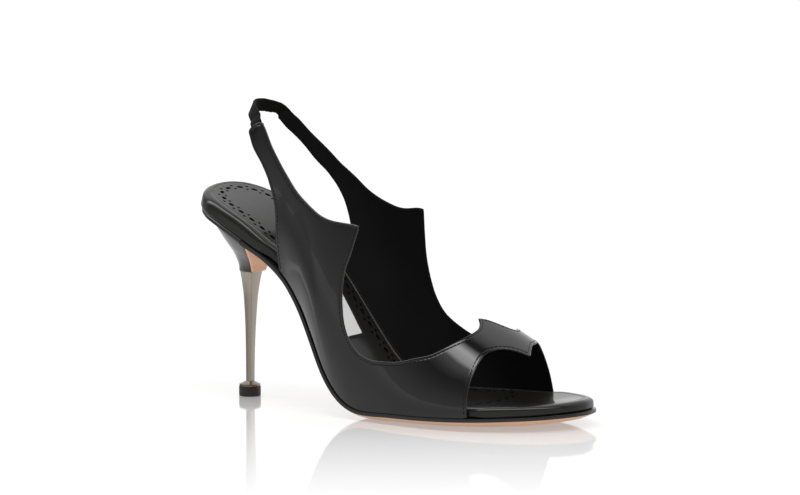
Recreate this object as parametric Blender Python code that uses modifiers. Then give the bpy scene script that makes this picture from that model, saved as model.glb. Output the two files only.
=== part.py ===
"""Slingback sandal with an open toe, right foot, on a slim metal heel.

X runs to the toe, Y to the medial side and Z up. The origin is the middle of the heel tip's
flat bottom, so the floor is the plane Z = 0. Values are in millimetres until a mesh is made.
"""
import math

import bmesh
import bpy
import numpy as np
from mathutils import Vector
from mathutils.geometry import delaunay_2d_cdt

MM = 0.001
GAP = 0.3

# Sole and wall thicknesses, measured down from the edge of the footbed's top
FOOTBED = 5.2
OUTSOLE_TOP = FOOTBED + GAP
OUTSOLE_EDGE = 7.5
OUTSOLE_MIDDLE = 9.4
RAND_BOTTOM = 9.0
WALL = 1.6
TUCK = WALL + 0.6
UPPER_FOOT = FOOTBED - 0.3

# Heel
BLOCK_BOTTOM = 63.4
TIP_RADIUS = 5.5
TIP_HEIGHT = 5.0
COLLAR_TOP = 7.4
FLAP = 1.2

# Ends of the lower pieces along the footbed, and the rand's step in from it at the back
BREAST = 11.8
RAND_END = 11.4
RAND_STEP = 1.5

# The outsole thickens towards the heel's front, over this length
FLARE_LENGTH = 24.0
FLARE_EDGE = 2.9
FLARE_MIDDLE = 1.4

# Rows of every sole piece along the footbed, and its rings from the middle out
STATIONS = 50
FRACTIONS = (0.0, 0.4, 0.75)

# Flattened upper: length of one degree round the last
DEGREE = 0.85

# Footbed: the last's bottom. Height is its edge's mean, lift raises the medial edge over the
# lateral one, and dish sinks the middle.
SOLE_COLUMNS = ("x", "height", "lateral", "medial", "lift", "dish")
SOLE = (
    (-23.1, 107.3, 0.0, 0.0, 4.0, 0.1),
    (-22.1, 107.1, 6.8, 6.8, 4.0, 0.1),
    (-18.8, 106.3, 13.2, 13.2, 4.0, 0.1),
    (-13.2, 104.6, 18.6, 18.6, 4.0, 0.1),
    (-5.0, 101.7, 22.8, 22.8, 4.0, 0.1),
    (8.0, 96.1, 25.0, 25.0, 4.2, 0.1),
    (22.0, 87.9, 25.0, 24.5, 4.2, 0.1),
    (34.0, 78.7, 23.8, 22.8, 3.8, 0.5),
    (44.0, 68.5, 23.2, 21.8, 3.4, 0.6),
    (54.0, 55.3, 24.6, 22.6, 3.2, 0.8),
    (64.0, 39.8, 27.8, 24.6, 3.6, 1.0),
    (74.0, 24.5, 31.5, 27.0, 4.2, 1.4),
    (82.0, 16.2, 33.8, 29.3, 4.2, 1.8),
    (90.0, 12.1, 35.6, 31.8, 3.2, 2.2),
    (100.0, 10.9, 37.0, 34.5, 1.2, 2.2),
    (112.0, 10.8, 38.0, 36.8, 0.0, 2.2),
    (126.0, 11.0, 38.6, 38.5, 0.0, 2.2),
    (140.0, 11.4, 37.6, 39.2, 0.0, 2.2),
    (155.0, 11.9, 33.5, 38.0, 0.0, 2.0),
    (168.0, 12.4, 26.5, 35.0, 0.0, 1.7),
    (180.0, 12.9, 17.0, 29.6, 0.0, 1.4),
    (187.0, 13.2, 7.5, 24.0, 0.0, 1.2),
    (191.4, 13.4, -1.5, 18.6, 0.0, 1.0),
    (193.2, 13.5, -9.5, 9.5, 0.0, 1.0),
)
HEEL_BACK = SOLE[0][0]
TOE_TIP = SOLE[-1][0]

# The last above the footbed: the ridge line, and how far each wall swells past the footbed
CROWN_COLUMNS = ("x", "ridge", "shift", "lateral_swell", "medial_swell")
CROWN = (
    (0.0, 150.0, 0.0, 0.0, 0.0),
    (10.0, 158.0, 0.0, 1.0, 1.0),
    (20.0, 168.0, 0.0, 3.0, 3.0),
    (32.0, 174.0, 0.0, 6.0, 6.0),
    (45.0, 172.0, 0.0, 9.0, 9.0),
    (60.0, 163.0, 0.0, 9.0, 9.0),
    (75.0, 150.0, 0.0, 7.0, 8.0),
    (90.0, 132.0, 1.0, 4.0, 6.0),
    (105.0, 98.0, 2.0, 2.0, 4.0),
    (120.0, 68.0, 4.0, 1.0, 2.0),
    (135.0, 53.0, 5.5, 1.0, 0.0),
    (150.0, 45.2, 7.0, 1.0, -1.5),
    (165.0, 36.8, 8.5, 1.0, -1.5),
    (196.0, 22.0, 12.0, 0.0, 0.0),
)

# Upper's cut edges on the last: x, and the angle from the ridge, lateral side negative
LATERAL_REAR = ((35.0, -90), (35.4, -80), (35.5, -72), (31.0, -66), (26.2, -62), (19.1, -56), (14.4, -50.5))
LATERAL_TAB = ((14.0, -48.8), (16.0, -47.5), (19.5, -47.3), (23.2, -48.1))
LATERAL_STRAP = ((24.6, -49.3), (30.6, -54.6), (37.6, -58), (44.4, -59.6), (51, -59.8), (60, -57.7),
                 (69.5, -54.7), (78.4, -51), (86.9, -47.1))
LATERAL_THROAT = ((86.9, -47.1), (84.9, -55.4), (82.7, -60.8), (82.1, -65.4), (82.6, -69.5), (84.3, -73.1),
                  (88.1, -75.4), (94.2, -76.4), (103.1, -74.8), (113.6, -69.9), (122.5, -62.5), (131.5, -53.1),
                  (139.2, -37.5), (142.4, -24.0), (141.6, -16.5), (138.5, -10.7))
SPLIT_EDGE = ((138.5, -10.7), (141.5, -5.7), (146.5, -1.2), (150.0, 2.5))
REAR_NOTCH = ((150.9, 5.0), (151.4, 8.0), (150.5, 11.0))
MEDIAL_THROAT = ((149.0, 16.0), (145.0, 32.0), (137.0, 46.0), (126.0, 58.0), (115.0, 66.0), (107.4, 69.0),
                 (97.2, 70.5), (91.7, 69.4), (87.9, 66.0), (85.9, 60.4), (86.5, 53.0), (88.5, 44.3))
MEDIAL_STRAP = ((88.5, 44.3), (75.9, 52.6), (65.5, 57.6), (55.8, 61.0), (48.0, 62.0), (36.3, 61.4),
                (23.3, 54.6), (14.2, 42.0))
MEDIAL_TAB = ((12.6, 39.0), (10.0, 36.8), (7.3, 37.4))
MEDIAL_REAR = ((6.6, 40.5), (10.9, 50.1), (21.8, 63.2), (30.9, 68.0), (36.5, 70.6), (40.2, 74.0), (42.4, 80.0),
               (42.4, 90.0))
LATERAL_FRONT = ((153.0, -90.0), (152.3, -77.3), (151.8, -65.2), (151.6, -57.3), (151.8, -48.0), (153.6, -38.0),
                 (157.8, -29.2), (163.5, -25.8), (169.9, -26.3))
FRONT_NOTCH = ((169.9, -26.3), (167.9, -18.0), (165.6, -9.0), (163.9, -3.0), (162.9, 1.5), (162.9, 5.0))
MEDIAL_FRONT = ((162.0, 9.5), (159.6, 20.0), (157.4, 36.0), (156.9, 50.0), (157.4, 66.0), (157.8, 80.0),
                (158.3, 90.0))
OPENING_X = {-1: LATERAL_FRONT[0][0], 1: MEDIAL_FRONT[-1][0]}
QUARTER_X = {-1: LATERAL_REAR[0][0], 1: MEDIAL_REAR[-1][0]}

# Heel block's D sections, from its bottom to the seat
BLOCK_COLUMNS = ("rise", "back", "breast", "half_width")
BLOCK = (
    (0.00, -5.4, 5.1, 5.6),
    (0.12, -5.6, 5.3, 7.0),
    (0.24, -6.4, 5.4, 9.3),
    (0.40, -8.2, 5.5, 12.6),
    (0.56, -11.8, 5.55, 16.2),
    (0.72, -15.6, 5.6, 19.0),
    (0.86, -18.6, 5.6, 21.0),
    (1.00, -20.0, 5.6, 22.2),
)
SHAFT_COLUMNS = ("z", "back", "breast", "half_width")
SHAFT = (
    (COLLAR_TOP + 0.3, -2.1, 1.6, 2.0),
    (20.0, -2.2, 1.8, 2.05),
    (33.0, -2.4, 2.3, 2.2),
    (50.0, -3.3, 3.3, 2.8),
    (58.0, -4.1, 4.0, 3.5),
    (BLOCK_BOTTOM - GAP, -4.9, 4.6, 4.4),
)

# Elastic at the back: middle line, and the way from its lower edge to its upper one
ELASTIC_WIDTH = 7.0
ELASTIC_THICKNESS = 1.1
ELASTIC_COLUMNS = ("x", "y", "z", "across_x", "across_y", "across_z")
ELASTIC = (
    (21.9, -19.15, 135.1, 6.5, -0.6, 2.8),
    (19.2, -17.55, 138.9, 6.4, -0.6, 3.0),
    (14.6, -14.6, 142.9, 5.6, -0.6, 4.2),
    (9.6, -10.2, 145.4, 4.2, -0.4, 5.4),
    (5.2, -4.0, 146.9, 2.6, 0.0, 6.4),
    (4.2, 3.0, 147.4, 2.4, 0.0, 6.5),
    (6.2, 8.8, 146.4, 4.0, 0.2, 5.6),
    (9.2, 12.2, 144.3, 5.4, 0.5, 4.4),
    (11.1, 13.8, 142.5, 6.2, 0.7, 3.2),
    (14.3, 16.0, 139.9, 6.4, 0.8, 2.8),
)


def column(rows, names, name):
    """One named column of a table."""
    return np.array([row[names.index(name)] for row in rows], float)


def pchip(xs, ys, x):
    """Smooth curve through (xs, ys) that never swings past its points."""
    x = np.asarray(x, float)
    step = np.diff(xs)
    rate = np.diff(ys) / step
    slope = np.empty_like(ys)
    slope[0], slope[-1] = rate[0], rate[-1]
    before, after = rate[:-1], rate[1:]
    first, second = step[:-1] + 2 * step[1:], 2 * step[:-1] + step[1:]
    with np.errstate(divide="ignore", invalid="ignore"):
        mean = (first + second) / (second / before + first / after)
    slope[1:-1] = np.where(before * after > 0, mean, 0.0)
    i = np.clip(np.searchsorted(xs, x) - 1, 0, len(step) - 1)
    t = np.clip((x - xs[i]) / step[i], 0, 1)
    return (ys[i] * (1 + 2 * t) * (1 - t) ** 2 + slope[i] * step[i] * t * (1 - t) ** 2
            + ys[i + 1] * (3 - 2 * t) * t ** 2 - slope[i + 1] * step[i] * (1 - t) * t ** 2)


def sole(name, x):
    return pchip(column(SOLE, SOLE_COLUMNS, "x"), column(SOLE, SOLE_COLUMNS, name), x)


def crown(name, x):
    return pchip(column(CROWN, CROWN_COLUMNS, "x"), column(CROWN, CROWN_COLUMNS, name), x)


def half_width(x, side):
    return sole("lateral" if side < 0 else "medial", x)


def sole_point(x, y, depth):
    """World points from a place on the footbed and a depth under its edge."""
    x, y, depth = np.broadcast_arrays(*(np.asarray(v, float) for v in (x, y, depth)))
    lateral, medial = sole("lateral", x), sole("medial", x)
    middle, half = (medial - lateral) / 2, np.maximum((medial + lateral) / 2, 0.5)
    across = np.clip((y - middle) / half, -1, 1)
    near, far = np.maximum(x - 0.5, HEEL_BACK), np.minimum(x + 0.5, TOE_TIP)
    slope = (sole("height", far) - sole("height", near)) / (far - near)
    length = np.sqrt(1 + slope ** 2)
    rise = across * sole("lift", x) / 2 - sole("dish", x) * (1 - across ** 2) - depth
    return np.stack([x - slope / length * rise, y, sole("height", x) + rise / length], -1)


def footbed_inset(x, side):
    """How far the footbed and the outsole's rim part, where the upper stands between them."""
    start, end = QUARTER_X[side], OPENING_X[side]
    inside = np.clip((x - start + 7) / 5, 0, 1) * np.clip((end + 5 - x) / 4, 0, 1)
    return TUCK * inside * inside * (3 - 2 * inside)


def stations(start, end):
    """Shared rows along the footbed, close together at both tips, cut to one piece's length."""
    rows = HEEL_BACK + (TOE_TIP - HEEL_BACK) * (1 - np.cos(np.linspace(0, math.pi, STATIONS))) / 2
    rows = rows[(rows > start + 1.2) & (rows < end - 1.2)]
    return np.concatenate([[start], rows, [end]])


def outline(start, end, reach):
    """Loop round the footbed from the heel along the lateral side and back, as x and y."""
    xs = stations(start, end)
    rows = [(x, -reach(x, -1)) for x in xs[:-1]]
    if end == TOE_TIP:
        rows.append((end, half_width(end, 1)))
    else:
        rows += [(end, -reach(end, -1)), (end, reach(end, 1))]
    rows += [(x, reach(x, 1)) for x in xs[-2:0:-1]]
    if start > HEEL_BACK:
        rows.append((start, reach(start, 1)))
    return np.array(rows, float)


def mesh_object(name, points, faces, collection, material):
    mesh = bpy.data.meshes.new(name)
    mesh.from_pydata([tuple(p) for p in np.asarray(points) * MM], [], faces)
    form = bmesh.new()
    form.from_mesh(mesh)
    bmesh.ops.remove_doubles(form, verts=form.verts, dist=0.00002)
    bmesh.ops.dissolve_degenerate(form, dist=0.000005, edges=form.edges)
    bmesh.ops.recalc_face_normals(form, faces=form.faces)
    form.to_mesh(mesh)
    form.free()
    obj = bpy.data.objects.new(name, mesh)
    collection.objects.link(obj)
    if material:
        mesh.materials.append(material)
    return obj


def rings_to_faces(rings, size, closed_ends=True, blunt=None):
    """Quads between rings of the same size. A blunt place gets one flat face through all rings."""
    faces = []
    for r in range(rings - 1):
        for i in range(size):
            j = (i + 1) % size
            if i != blunt:
                faces.append((r * size + i, r * size + j, (r + 1) * size + j, (r + 1) * size + i))
    if blunt is not None:
        after = (blunt + 1) % size
        wall = [r * size + blunt for r in range(rings)] + [r * size + after for r in range(rings)][::-1]
        faces.append(tuple(wall))
    if closed_ends:
        faces.append(tuple(range(size))[::-1])
        faces.append(tuple((rings - 1) * size + i for i in range(size)))
    return faces


def flared(x):
    """Share of the outsole's extra thickness, full at the heel's front."""
    near = np.clip(1 - (x - BREAST) / FLARE_LENGTH, 0, 1)
    return near * near * (3 - 2 * near)


def sole_layer(loop, profile, floor=False, blunt=None):
    """Closed layer: each profile row is a fraction of the way out, an inset, a depth and a flare."""
    x, y = loop.T
    hub_x = np.clip(x, HEEL_BACK + 20, TOE_TIP - 26)
    hub_y = (sole("medial", hub_x) - sole("lateral", hub_x)) / 2
    out = np.stack([x - hub_x, y - hub_y], 1)
    length = np.maximum(np.linalg.norm(out, axis=1), 1e-6)
    rings = []
    for fraction, inset, depth, *flare in profile:
        scale = fraction * np.clip(1 - inset / length, 0, 1)
        ring_x = hub_x + out[:, 0] * scale
        if flare:
            depth = depth + flare[0] * flared(ring_x)
        ring = sole_point(ring_x, hub_y + out[:, 1] * scale, depth)
        if floor:
            ring[:, 2] = np.maximum(ring[:, 2], 0)
        rings.append(ring)
    return np.concatenate(rings), rings_to_faces(len(profile), len(loop), closed_ends=False, blunt=blunt)


def rolled_edge(thickness, steps):
    """Rounded edge of a wrapped board, from its top to its bottom."""
    radius = thickness / 2
    turn = np.linspace(0, math.pi, steps)
    return [(1.0, radius * (1 - math.sin(a)), radius * (1 - math.cos(a))) for a in turn]


def build_footbed(collection, material):
    loop = outline(HEEL_BACK, TOE_TIP, lambda x, side: half_width(x, side) - footbed_inset(x, side))
    profile = [(f, 0, 0) for f in FRACTIONS] + rolled_edge(FOOTBED, 6)
    profile += [(f, 0, FOOTBED) for f in FRACTIONS[::-1]]
    points, faces = sole_layer(loop, profile)
    return mesh_object("footbed", points, faces, collection, material)


def build_outsole(collection, cutters, material):
    loop = outline(BREAST, TOE_TIP, lambda x, side: half_width(x, side) + 0.2)
    bevel = (OUTSOLE_MIDDLE - OUTSOLE_EDGE) * 0.5
    profile = [(f, 0, OUTSOLE_TOP) for f in FRACTIONS]
    profile += [(1.0, 2.2, OUTSOLE_TOP), (1.0, 0.0, OUTSOLE_TOP), (1.0, 0.1, OUTSOLE_EDGE, FLARE_EDGE),
                (0.9, 0.0, OUTSOLE_EDGE + bevel, (FLARE_EDGE + FLARE_MIDDLE) / 2)]
    profile += [(f, 0, OUTSOLE_MIDDLE, FLARE_MIDDLE) for f in FRACTIONS[::-1]]
    points, faces = sole_layer(loop, profile, floor=True, blunt=len(loop) - 1)
    obj = mesh_object("outsole", points, faces, collection, material)
    flap = build_flap(cutters)
    joined = obj.modifiers.new("flap", "BOOLEAN")
    joined.operation = "UNION"
    joined.solver = "EXACT"
    joined.object = flap
    return obj


def seat_height(x, y):
    """Underside of the rand over a place on the floor, less the gap to the block."""
    guess = np.asarray(x, float).copy()
    for _ in range(6):
        point = sole_point(guess, y, RAND_BOTTOM + GAP)
        guess = guess + (x - point[..., 0])
    return point[..., 2]


def d_ring(back, breast, half, count=13):
    """Rounded back and flat front of the heel, from the medial front corner round the back."""
    turn = np.linspace(-math.pi / 2, math.pi / 2, count)
    return breast - (breast - back) * np.cos(turn), -half * np.sin(turn)


def build_block(collection, material):
    rings = []
    for rise, back, breast, half in BLOCK:
        x, y = d_ring(back, breast, half, 17)
        top = seat_height(x, y)
        rings.append(np.stack([x, y, BLOCK_BOTTOM + rise * (top - BLOCK_BOTTOM)], 1))
    middle = (BLOCK[-1][1] + BLOCK[-1][2]) / 2
    for shrink in (0.7, 0.4, 0.1):
        inner_x, inner_y = middle + (x - middle) * shrink, y * shrink
        rings.append(np.stack([inner_x, inner_y, seat_height(inner_x, inner_y)], 1))
    return mesh_object("heel_block", np.concatenate(rings), rings_to_faces(len(rings), len(rings[0])),
                       collection, material)


def build_flap(cutters):
    """The outsole's tongue of leather down the front of the heel."""
    rows = []
    for rise in np.linspace(0.02, 1.0, 8):
        breast = pchip(column(BLOCK, BLOCK_COLUMNS, "rise"), column(BLOCK, BLOCK_COLUMNS, "breast"), rise)
        half = pchip(column(BLOCK, BLOCK_COLUMNS, "rise"), column(BLOCK, BLOCK_COLUMNS, "half_width"), rise) - 0.2
        front = breast + GAP
        corner = np.array([(front, half), (front, -half), (front + FLAP, -half), (front + FLAP, half)])
        top = seat_height(np.full(4, front + FLAP), corner[:, 1])
        z = BLOCK_BOTTOM + rise * (top - BLOCK_BOTTOM)
        rows.append(np.stack([corner[:, 0], corner[:, 1], z], 1))
    obj = mesh_object("breast_flap", np.concatenate(rows), rings_to_faces(len(rows), 4), cutters, None)
    obj.hide_render = True
    obj.display_type = "WIRE"
    return obj


def build_rand(collection, material):
    loop = outline(HEEL_BACK, RAND_END, half_width)
    blunt = len(stations(HEEL_BACK, RAND_END)) - 1
    loop[:, 0] += RAND_STEP * np.clip((6 - loop[:, 0]) / 20, 0, 1)
    profile = [(f, 0, OUTSOLE_TOP) for f in FRACTIONS]
    profile += [(1.0, 0.5, OUTSOLE_TOP), (1.0, 0.0, OUTSOLE_TOP + 0.5), (1.0, 0.0, RAND_BOTTOM - 0.5),
                (1.0, 0.5, RAND_BOTTOM)]
    profile += [(f, 0, RAND_BOTTOM) for f in FRACTIONS[::-1]]
    points, faces = sole_layer(loop, profile, blunt=blunt)
    return mesh_object("seat_rand", points, faces, collection, material)


def build_shaft(collection, material):
    rings = []
    for z, back, breast, half in SHAFT:
        x, y = d_ring(back, breast, half)
        rings.append(np.stack([x, y, np.full(len(x), z)], 1))
    return mesh_object("heel_shaft", np.concatenate(rings), rings_to_faces(len(rings), len(rings[0])),
                       collection, material)


def turned(name, profile, collection, material, steps=40):
    """Profile of radius and height turned round the heel's axis."""
    mesh = bpy.data.meshes.new(name)
    points = [(r * MM, 0, z * MM) for r, z in profile]
    mesh.from_pydata(points, [(i, i + 1) for i in range(len(points) - 1)], [])
    obj = bpy.data.objects.new(name, mesh)
    collection.objects.link(obj)
    mesh.materials.append(material)
    screw = obj.modifiers.new("turn", "SCREW")
    screw.steps = steps
    screw.render_steps = steps
    screw.use_merge_vertices = True
    screw.merge_threshold = 0.00001
    screw.use_normal_calculate = True
    return obj


def build_collar(collection, material):
    low = TIP_HEIGHT
    profile = ((0, low), (TIP_RADIUS - 0.2, low), (TIP_RADIUS - 0.2, low + 0.9), (3.4, COLLAR_TOP), (0, COLLAR_TOP))
    return turned("heel_collar", profile, collection, material)


def build_tip(collection, material):
    profile = ((0, 0), (TIP_RADIUS - 0.4, 0), (TIP_RADIUS, 0.4), (TIP_RADIUS, TIP_HEIGHT - 0.3),
               (TIP_RADIUS - 0.3, TIP_HEIGHT), (0, TIP_HEIGHT))
    return turned("heel_tip", profile, collection, material)


def rim_lines():
    """Foot of the upper on each side, as x against y and z."""
    x = np.linspace(HEEL_BACK, TOE_TIP, 300)
    lines = {}
    for side in (-1, 1):
        lines[side] = sole_point(x, side * (half_width(x, side) - 0.1), UPPER_FOOT)
    return lines


def last_point(x, angle, rims):
    """Outer face of the upper at x and an angle in degrees from the ridge."""
    x, angle = np.broadcast_arrays(np.asarray(x, float), np.radians(np.asarray(angle, float)))
    rise, out = np.cos(angle), np.sin(angle)
    foot = {side: [np.interp(x, rims[side][:, 0], rims[side][:, k]) for k in (1, 2)] for side in (-1, 1)}
    lateral = angle < 0
    reach = np.where(lateral, -foot[-1][0], foot[1][0])
    low = np.where(lateral, foot[-1][1], foot[1][1])
    swell = np.where(lateral, crown("lateral_swell", x), crown("medial_swell", x))
    y = crown("shift", x) * (1 - np.abs(out)) + out * (reach + 4 * swell * rise * (1 - rise))
    return np.stack([x, y, low + (crown("ridge", x) - low) * rise], -1)


def spline(points, step):
    """Even points on a smooth curve through the given ones, last one left out."""
    p = np.array(points, float)
    ends = np.vstack([2 * p[0] - p[1], p, 2 * p[-1] - p[-2]])
    dense = []
    for a, b, c, d in zip(ends[:-3], ends[1:-2], ends[2:-1], ends[3:]):
        t = np.linspace(0, 1, 12, endpoint=False)[:, None]
        dense.append(0.5 * (2 * b + (c - a) * t + (2 * a - 5 * b + 4 * c - d) * t ** 2
                            + (3 * b - a - 3 * c + d) * t ** 3))
    dense = np.vstack(dense + [p[-1:]])
    length = np.concatenate([[0], np.cumsum(np.linalg.norm(np.diff(dense, axis=0), axis=1))])
    count = max(2, int(round(length[-1] / step)))
    at = np.linspace(0, length[-1], count + 1)[:-1]
    return np.stack([np.interp(at, length, dense[:, k]) for k in range(dense.shape[1])], 1)


def upper_outline(step):
    """Closed cut line of the upper in x and angle."""
    foot_lateral = tuple((x, -90) for x in np.linspace(QUARTER_X[-1], OPENING_X[-1], 12))
    foot_medial = tuple((x, 90) for x in np.linspace(OPENING_X[1], QUARTER_X[1], 12))
    rear_end = LATERAL_STRAP[0]
    edges = (foot_lateral, LATERAL_FRONT, FRONT_NOTCH + MEDIAL_FRONT, foot_medial, MEDIAL_REAR[::-1],
             MEDIAL_REAR[:1] + MEDIAL_TAB[::-1] + MEDIAL_STRAP[-1:], MEDIAL_STRAP[::-1], MEDIAL_THROAT[::-1],
             MEDIAL_THROAT[:1] + REAR_NOTCH[::-1] + SPLIT_EDGE[-1:], SPLIT_EDGE[::-1], LATERAL_THROAT[::-1],
             LATERAL_STRAP[::-1], (rear_end,) + LATERAL_TAB[::-1] + LATERAL_REAR[-1:], LATERAL_REAR[::-1])
    scaled = [spline([(x, a * DEGREE) for x, a in edge], step) for edge in edges]
    return np.vstack(scaled)


def build_upper(collection, material, step=3.6, spacing=4.8):
    loop = upper_outline(step)
    closed = np.vstack([loop, loop[:1]])
    grid = [(x, y) for x in np.arange(2, 174, spacing) for y in np.arange(-76, 77, spacing)]
    inner = [p for p in grid if clear_inside(np.array(p), closed, spacing * 0.45)]
    points = [Vector(p) for p in loop] + [Vector(p) for p in inner]
    result = delaunay_2d_cdt(points, [], [list(range(len(loop)))], 1, 0.0001)
    flat = np.array([tuple(v) for v in result[0]])
    world = last_point(flat[:, 0], flat[:, 1] / DEGREE, rim_lines())
    obj = mesh_object("upper", world, [tuple(f) for f in result[2]], collection, material)
    wall = obj.modifiers.new("wall", "SOLIDIFY")
    wall.thickness = WALL * MM
    wall.offset = -1
    wall.use_even_offset = True
    return obj


def clear_inside(point, closed, margin):
    """Whether a flat point lies inside the loop and off its edge."""
    a, b = closed[:-1], closed[1:]
    span = b - a
    t = np.clip(((point - a) * span).sum(1) / np.maximum((span ** 2).sum(1), 1e-9), 0, 1)
    if np.linalg.norm(a + span * t[:, None] - point, axis=1).min() < margin:
        return False
    over = (a[:, 1] > point[1]) != (b[:, 1] > point[1])
    cross = a[:, 0] + (point[1] - a[:, 1]) / np.where(over, span[:, 1], 1) * span[:, 0]
    return bool((over & (cross > point[0])).sum() % 2)


def build_elastic(collection, material):
    rows = np.array(ELASTIC, float)
    fine = np.vstack([spline(rows, 2.5), rows[-1:]])
    middle, across = fine[:, :3], fine[:, 3:]
    along = np.gradient(middle, axis=0)
    across = across - along * ((across * along).sum(1) / (along ** 2).sum(1))[:, None]
    across *= (ELASTIC_WIDTH / 2 / np.linalg.norm(across, axis=1))[:, None]
    thick = np.cross(along, across)
    thick *= (ELASTIC_THICKNESS / 2 / np.linalg.norm(thick, axis=1))[:, None]
    corners = ((-1, -0.5), (-0.94, -1), (0, -1), (0.94, -1), (1, -0.5), (1, 0.5), (0.94, 1), (0, 1), (-0.94, 1),
               (-1, 0.5))
    points = np.stack([middle + a * across + b * thick for a, b in corners], 1).reshape(-1, 3)
    return mesh_object("sling_elastic", points, rings_to_faces(len(fine), len(corners)), collection, material)


def finish(name, colour, roughness, metallic=0.0):
    material = bpy.data.materials.new(name)
    material.use_nodes = True
    shader = material.node_tree.nodes["Principled BSDF"]
    shader.inputs["Base Color"].default_value = (*colour, 1)
    shader.inputs["Roughness"].default_value = roughness
    shader.inputs["Metallic"].default_value = metallic
    return material


def main():
    for obj in list(bpy.data.objects):
        bpy.data.objects.remove(obj)
    collection = bpy.data.collections.new("slingback_sandal")
    cutters = bpy.data.collections.new("cutters")
    for group in (collection, cutters):
        bpy.context.scene.collection.children.link(group)
    build_upper(collection, finish("patent_leather", (0.035, 0.034, 0.036), 0.15))
    build_footbed(collection, finish("insole_leather", (0.05, 0.047, 0.045), 0.35))
    build_outsole(collection, cutters, finish("sole_leather", (0.56, 0.36, 0.22), 0.5))
    build_rand(collection, finish("edge_paint", (0.02, 0.02, 0.02), 0.3))
    build_block(collection, finish("heel_cover", (0.045, 0.044, 0.046), 0.18))
    build_shaft(collection, finish("polished_metal", (0.42, 0.37, 0.33), 0.2, 1.0))
    build_collar(collection, finish("dark_metal", (0.2, 0.16, 0.13), 0.3, 1.0))
    build_tip(collection, finish("rubber", (0.02, 0.018, 0.016), 0.6))
    build_elastic(collection, finish("elastic_webbing", (0.025, 0.023, 0.022), 0.8))


main()
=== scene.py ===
"""Looks of the slingback sandal: patent upper, lined and stitched, on a slim metal heel.

X runs to the toe, Y to the medial side and Z up, and the floor is Z = 0. Values are in
millimetres until a mesh is made.
"""

import math

import bmesh
import bpy
import numpy as np
from mathutils import Matrix, Vector
from mathutils.geometry import delaunay_2d_cdt


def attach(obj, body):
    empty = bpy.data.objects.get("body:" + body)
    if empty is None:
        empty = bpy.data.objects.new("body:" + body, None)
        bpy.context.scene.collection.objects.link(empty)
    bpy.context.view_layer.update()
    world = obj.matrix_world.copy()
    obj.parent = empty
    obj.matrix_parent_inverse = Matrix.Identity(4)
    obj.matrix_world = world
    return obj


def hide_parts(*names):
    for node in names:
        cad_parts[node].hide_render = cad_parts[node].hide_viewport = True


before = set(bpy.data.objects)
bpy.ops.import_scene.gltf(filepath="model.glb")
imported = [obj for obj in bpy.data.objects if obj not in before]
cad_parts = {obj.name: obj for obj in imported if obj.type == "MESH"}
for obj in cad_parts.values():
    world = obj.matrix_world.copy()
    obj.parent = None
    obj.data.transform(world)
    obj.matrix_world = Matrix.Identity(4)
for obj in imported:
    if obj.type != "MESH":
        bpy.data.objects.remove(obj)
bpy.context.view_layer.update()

MM = 0.001
GAP = 0.3

# Footbed's section: step in under the upper, lower round, shoulder, its share, ribs by the binding
TUCK = 2.2
LOWER_ROUND = 1.3
SHOULDER = 3.2
SHOULDER_SHARE = 0.42
RIB_DEPTH = 0.07

# Upper: wall at its cut edge and away from it, edge radius, sewn groove, and its turn at the sole
WALL_EDGE = 1.0
WALL = 1.6
EDGE_RADIUS = 0.5
SEAM_INSET = 1.55
SEAM_DEPTH = 0.14
SEAM_WIDTH = 0.3
FOOT_TURN = 0.5
FOOT_REACH = 2.6
EDGE_UNDER = 0.35

# Rows of points beside the upper's cut edge, and flat units per degree round the last
UPPER_RINGS = (0.25, 0.55, 0.95, 1.3, 1.55, 1.8, 2.2, 3.0, 4.0)
DEGREE = 0.85

# Heel, and the ends of the outsole and the rand under the seat
BLOCK_BOTTOM = 63.4
TIP_RADIUS = 5.5
TIP_HEIGHT = 5.0
COLLAR_TOP = 7.4
FLAP = 1.2
BREAST = 18.5
RAND_END = 18.1
RAND_STEP = 1.5

# Footbed: the last's bottom. Height is its edge's mean, lift raises the medial edge over the
# lateral one, and dish sinks the middle.
SOLE_COLUMNS = ("x", "height", "lateral", "medial", "lift", "dish")
SOLE = (
    (-22.4, 107.2, 0.0, 0.0, 4.0, 0.1),
    (-21.4, 107.0, 6.8, 6.8, 4.0, 0.1),
    (-18.2, 106.2, 13.2, 13.2, 4.0, 0.1),
    (-12.8, 104.5, 18.6, 18.6, 4.0, 0.1),
    (-5.0, 101.7, 22.8, 22.8, 4.0, 0.1),
    (8.0, 96.1, 25.0, 25.0, 4.2, 0.1),
    (22.0, 87.9, 25.0, 24.5, 4.2, 0.1),
    (34.0, 78.7, 23.8, 22.8, 3.8, 0.5),
    (44.0, 68.5, 23.2, 21.8, 3.4, 0.6),
    (54.0, 55.3, 24.6, 22.6, 3.2, 0.8),
    (64.0, 39.8, 27.8, 24.6, 3.6, 1.0),
    (74.0, 24.5, 31.5, 27.0, 4.2, 1.4),
    (82.0, 16.2, 33.8, 29.3, 4.2, 1.8),
    (90.0, 12.1, 35.6, 31.8, 3.2, 2.2),
    (100.0, 10.9, 37.0, 34.5, 1.2, 2.2),
    (112.0, 10.8, 38.0, 36.8, 0.0, 2.2),
    (126.0, 11.0, 38.6, 38.5, 0.0, 2.2),
    (140.0, 11.4, 37.6, 39.2, 0.0, 2.2),
    (155.0, 11.9, 33.5, 38.0, 0.0, 2.0),
    (168.0, 12.4, 26.5, 35.0, 0.0, 1.7),
    (180.0, 12.9, 17.0, 29.6, 0.0, 1.4),
    (187.0, 13.2, 7.5, 24.0, 0.0, 1.2),
    (191.4, 13.4, -1.5, 18.6, 0.0, 1.0),
    (193.2, 13.5, -9.5, 9.5, 0.0, 1.0),
)

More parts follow.
